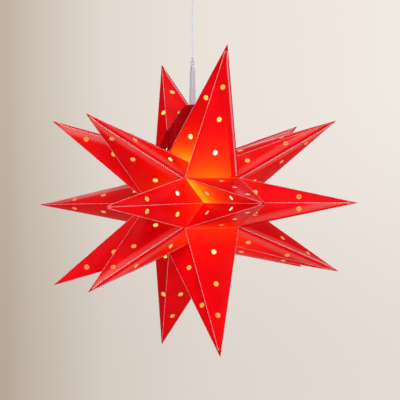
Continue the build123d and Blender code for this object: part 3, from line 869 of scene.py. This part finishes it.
threadValues = {
    "Stitch": sewing["stitch"], "Width": sewing["width"], "Lift": sewing["lift"],
    "Thickness": sewing["thickness"], "Sides": 5,
}
creaseValues = {"Stitch": 0.02, "Width": 0.0, "Lift": 0.0, "Thickness": creases["thickness"], "Sides": 6}
rimValues = {"Radius": star["holeRadius"], "Lip": 0.00022, "Sides": 20}
for name, guides, runs, tree, values, finish in (
    ("seamThread", "seamGuides", seamRuns, threadAlongSeam, threadValues, whiteThread),
    ("foldHighlightBeads", "foldGuides", foldRuns, threadAlongSeam, creaseValues, foldHighlightLine),
    ("punchedRims", "holeGuides", holePlaces, rimAtHoles, rimValues, cutEdge),
):
    plainMesh(name, guideMesh(guides, runs), tree, values, finish, "star", "vinyl_sheet")
print("seams sewn, folds scored, holes rimmed")


# pieces that keep their CAD shape
for finish, names in (
    (shadedTabSheet, ("front_tab", "back_tab", "front_flange", "back_flange")),
    (hookTape, ("hook_pads",)), (loopTape, ("loop_pads",)), (sleeveTube, ("stem_sleeve",)),
    (drawnSteel, ("hanger_rod", "holder_cap")), (whitePlastic, ("foot_plate", "neck_bush")),
    (brightWire, ("lamp_pins",)), (ceramicBody, ("holder_body", "lamp_base")),
    (springBrass, ("contact_clips",)), (lampBoard, ("lamp_core",)), (frostedGlass, ("lamp_cover",)),
    (satinPaint, ("ceiling_plate",)),
):
    for name in names:
        for slot in nodes[name].material_slots:
            slot.material = finish
print("fittings dressed")


# bent wire, the line's loops and its knots, all round in section
def tubeMesh(name, runs, finish, body, slot, *replaced):
    # a run has its places, a radius for each or for all, its sides, and whether it closes
    places, faces = [], []
    for run, radii, sides, closed in runs:
        count, start = len(run), len(places)
        radii = radii if isinstance(radii, list) else [radii] * count
        frames = []
        for i, place in enumerate(run):
            ahead = run[(i + 1) % count] if closed or i < count - 1 else place
            behind = run[i - 1] if closed or i else place
            frames.append((ahead - behind).normalized())
        side = frames[0].orthogonal().normalized()
        for i, (place, way) in enumerate(zip(run, frames)):
            side = (side - way * side.dot(way)).normalized()
            across = way.cross(side)
            for k in range(sides):
                t = 2 * pi * k / sides
                places.append(place + (side * cos(t) + across * sin(t)) * radii[i])
        for i in range(count if closed else count - 1):
            low, high = start + i * sides, start + ((i + 1) % count) * sides
            shift = 0
            if closed and i == count - 1:  # the last ring meets the first where its places lie nearest
                shift = min(range(sides), key=lambda n: (places[low] - places[high + n]).length)
            for k in range(sides):
                m = (k + 1) % sides
                faces.append([low + k, low + m, high + (m + shift) % sides, high + (k + shift) % sides])
        if not closed:
            faces.append([start + k for k in reversed(range(sides))])
            faces.append([start + (count - 1) * sides + k for k in range(sides)])
    data = shell(name, places, faces, finish)
    data.polygons.foreach_set("use_smooth", [len(f) == 4 for f in faces])
    return addPiece(name, data, body, slot, *replaced)


def arcPlaces(middle, radius, start, end, parts, plane="xz"):
    made = []
    for i in range(parts + 1):
        t = radians(start + (end - start) * i / parts)
        flat = (radius * cos(t), radius * sin(t))
        made.append(Vector(middle) + (Vector((flat[0], 0, flat[1])) if plane == "xz" else Vector((0, *flat))))
    return made


hookValues = {
    "wire": 0.0015, "bow": 0.008, "neck": 0.004, "top": -0.005, "shank": 0.005, "rise": 30,
    "taper": (0.97, 0.82, 0.5),
}
neckTurn = degrees(acos(hookValues["neck"] / (hookValues["neck"] + hookValues["bow"])))
bend = hookValues["top"] - hookValues["shank"]
bowMiddle = (0, 0, bend - (hookValues["neck"] + hookValues["bow"]) * sin(radians(neckTurn)))
hookRun = [Vector((0, 0, hookValues["top"])), Vector((0, 0, (hookValues["top"] + bend) / 2))]
hookRun += arcPlaces((hookValues["neck"], 0, bend), hookValues["neck"], 180, 180 + neckTurn, 10)
hookRun += arcPlaces(bowMiddle, hookValues["bow"], neckTurn, -180 - hookValues["rise"], 40)[1:]
hookRadii = [hookValues["wire"]] * (len(hookRun) - 3)
hookRadii += [hookValues["wire"] * part for part in hookValues["taper"]]
hookRun[-3:] = [hookRun[-2].lerp(hookRun[-3], 0.1), hookRun[-1].lerp(hookRun[-2], 0.3), hookRun[-1]]
tubeMesh("ceilingHook", [(hookRun, hookRadii, 20, False)], hookSteel, "ceiling", "hook_steel", "ceiling_hook")

eyeValues = {
    "ring": 0.0032, "wire": 0.0008, "height": -0.1607, "shank": 0.0009, "foot": -0.1731, "head": 0.0018,
    "headHeight": 0.0015, "weld": 0.0006, "bevel": 0.0002,
}
top, foot, bevel = eyeValues["height"] - eyeValues["ring"], eyeValues["foot"], eyeValues["bevel"]
low, thin, thick = foot - eyeValues["headHeight"], eyeValues["shank"], eyeValues["head"]
shankSteps = (  # heights and radii, down the shank and its flat head
    (top, thin * 0.8), (top - eyeValues["weld"], thin), (foot + bevel, thin), (foot, thin),
    (foot - bevel, thick), (low + bevel, thick), (low, thick * 0.9),
)
ringRun = arcPlaces((0, 0, eyeValues["height"]), eyeValues["ring"], 0, 360, 40)[:-1]
shankRun = [Vector((0, 0, height)) for height, _ in shankSteps]
tubeMesh(
    "hangerEye",
    [(ringRun, eyeValues["wire"], 16, True), (shankRun, [radius for _, radius in shankSteps], 20, False)],
    brightWire, "eye", "bright_wire", "hanger_eye")

loopValues = {"line": 0.001, "fit": 0.00015, "close": 0.00115, "lean": 15}
knotValues = {
    "reach": 0.00102, "swing": 0.00052, "rise": 0.00113, "line": 0.00092, "places": 90, "beyond": 0.0021,
}
for name, seat, wire, sign in (
    ("upper", bowMiddle[2] - hookValues["bow"], hookValues["wire"], -1),
    ("lower", eyeValues["height"] + eyeValues["ring"], eyeValues["wire"], 1),
):
    bow = wire + loopValues["fit"] + loopValues["line"]
    slope = radians(loopValues["lean"])
    legY, legZ = bow * cos(slope), bow * sin(slope)
    reach = legZ + (legY - loopValues["close"]) / tan(slope)
    end = reach - loopValues["line"] / 2
    half = legY - (end - legZ) * tan(slope)
    arc = arcPlaces((0, 0, seat), bow, loopValues["lean"], -180 - loopValues["lean"], 26, "yz")
    run = [Vector((0, half, seat + sign * end))]
    run += arc if sign > 0 else [Vector((p.x, p.y, 2 * seat - p.z)) for p in arc]
    run.append(Vector((0, -half, seat + sign * end)))
    loop = [(run, loopValues["line"], 14, False)]
    tubeMesh(name + "Loop", loop, clearLine, "line", "clear_line", name + "_loop")
    middle = Vector((0, 0, seat + sign * (end + knotValues["beyond"])))
    run = []
    for i in range(knotValues["places"]):  # a trefoil
        t = 2 * pi * i / knotValues["places"]
        out = knotValues["reach"] + knotValues["swing"] * cos(3 * t)
        rise = knotValues["rise"] * sin(3 * t)
        run.append(middle + Vector((out * cos(2 * t), out * sin(2 * t), rise)))
    knot = [(run, knotValues["line"], 12, True)]
    tubeMesh(name + "Knot", knot, clearLine, "line", "clear_line", name + "_knot")
print("wire bent, knots tied")

# the closure's stitching, and the pile on its tape
closure = {
    "foldHeight": -0.3183975, "tabFace": 0.0027, "padMiddle": 0.0225, "padFoot": 0.026, "padWidth": 0.027,
    "padHeight": 0.030, "hookFace": -0.0003, "loopFace": 0.0001, "stitchInset": 0.0018, "pileInset": 0.0012,
    "runParts": 8,
}
padZ = closure["foldHeight"] + closure["padFoot"] + closure["padHeight"] / 2


def padCorners(inset):
    w, h = closure["padWidth"] / 2 - inset, closure["padHeight"] / 2 - inset
    return [(-w, -h), (w, -h), (w, h), (-w, h)]


def rectangleRun(middleX, y, lift):
    corners, parts = padCorners(closure["stitchInset"]), closure["runParts"]
    run = []
    for i in range(4):
        (x1, z1), (x2, z2) = corners[i], corners[(i + 1) % 4]
        size = hypot(x2 - x1, z2 - z1)
        across = Vector((-(z2 - z1) / size, 0, (x2 - x1) / size))
        for k in range(parts + (1 if i == 3 else 0)):
            part = k / parts
            place = Vector((middleX + x1 + (x2 - x1) * part, y, padZ + z1 + (z2 - z1) * part))
            run.append((place, across, lift))
    return run


tapeStitch = {"Stitch": 0.0016, "Width": 0.0011, "Lift": 0.00012, "Thickness": 0.00024, "Sides": 5}
tapePile = {"Density": 260000.0, "Height": 0.00017, "Thickness": 0.00005}
for name, way, padY, finish, slot, seed in (
    ("front", -1, closure["hookFace"], hookTape, "hook_tape", 4),
    ("back", 1, closure["loopFace"], loopTape, "loop_tape", 9),
):
    body, middles = name + "_flap", (-closure["padMiddle"], closure["padMiddle"])
    runs = [rectangleRun(x, way * closure["tabFace"], Vector((0, way, 0))) for x in middles]
    guides = guideMesh(name + "TapeGuides", runs)
    plainMesh(name + "TapeStitch", guides, threadAlongSeam, tapeStitch, tapeThread, body, "vinyl_sheet")
    places, faces = [], []
    for middle in middles:
        start = len(places)
        places += [(middle + x, padY, padZ + z) for x, z in padCorners(closure["pileInset"])]
        quad = [start, start + 3, start + 2, start + 1]
        faces.append(quad if way < 0 else quad[::-1])
    pad = shell(name + "PadFace", places, faces)
    plainMesh(name + "TapePile", pad, pileOnTape, {**tapePile, "Seed": seed}, finish, body, slot)
print("closure sewn")

# a plain pale floor, well below the view
floorValues = {"radius": 2.3, "height": -1.1, "sides": 64}
rim = roundHole(0, 0, floorValues["radius"], floorValues["sides"])
paleFloor = grainFinish("paleFloor", (0.70, 0.66, 0.61), (0.76, 0.72, 0.67), 0.6, 60, 0.0005, 0.2)
places = [(*place, floorValues["height"]) for place in rim]
floor = linked("floor", shell("floor", places, [list(range(len(places)))], paleFloor))

# soft studio light
lights = [
    {"name": "keyLight", "place": (-1.5, -2.2, 0.9), "size": 2.6, "power": 47},
    {"name": "rightLight", "place": (2.3, -1.3, 0.1), "size": 2.2, "power": 28},
    {"name": "topLight", "place": (0.1, 0.4, 1.7), "size": 1.6, "power": 17},
    {"name": "backLight", "place": (0.4, 2.6, 0.3), "size": 1.6, "power": 20},
    {"name": "lowLight", "place": (-0.6, -1.6, -1.0), "size": 1.6, "power": 19},
]
for values in lights:
    data = bpy.data.lights.new(values["name"], "AREA")
    data.size, data.energy = values["size"], values["power"]
    lit = linked(values["name"], data)
    lit.location = values["place"]
    lit.rotation_euler = (starCentre - lit.location).to_track_quat("-Z", "Y").to_euler()

# a plain warm backdrop, dimmer to the left and below
world = bpy.data.worlds.new("studio")
world.use_nodes = True
world.node_tree.nodes.clear()
scene.world = world
board = Board(world.node_tree)
wallStops = (  # from the left of the view to its right
    (0.0, (0.80, 0.74, 0.68)), (0.25, (0.80, 0.74, 0.68)), (0.31, (0.53, 0.44, 0.36)),
    (0.337, (0.54, 0.45, 0.37)), (0.353, (0.60, 0.52, 0.44)), (0.42, (0.76, 0.69, 0.63)),
    (0.5, (0.83, 0.76, 0.70)), (0.66, (0.88, 0.82, 0.76)),
)
way = board.node("ShaderNodeTexCoord", out="Generated")
aside, height = (
    board.node("ShaderNodeVectorMath", {"operation": "DOT_PRODUCT"}, {0: way, 1: axis}, out="Value")
    for axis in (tuple(rightward), (0, 0, 1)))
backdrop = board.ramp(aside / 0.6 + 0.5, *wallStops)
dimmed = board.blendColours(board.smooth(height, -0.10, 0.06), (0.88, 0.87, 0.86), (1.0, 1.0, 1.0))
multiply = {"data_type": "RGBA", "blend_type": "MULTIPLY"}
seen = board.node("ShaderNodeMix", multiply, {0: 1.0, 6: backdrop, 7: dimmed}, out=2)
seenLight = board.node("ShaderNodeBackground", None, {"Color": seen, "Strength": 1.0})
roomLight = board.node("ShaderNodeBackground", None, {"Color": (0.95, 0.96, 1.0), "Strength": 0.22})
direct = board.node("ShaderNodeLightPath", out="Is Camera Ray")
both = board.node("ShaderNodeMixShader", None, {0: direct, 1: roomLight, 2: seenLight})
board.node("ShaderNodeOutputWorld", None, {"Surface": both})
print("studio lit")
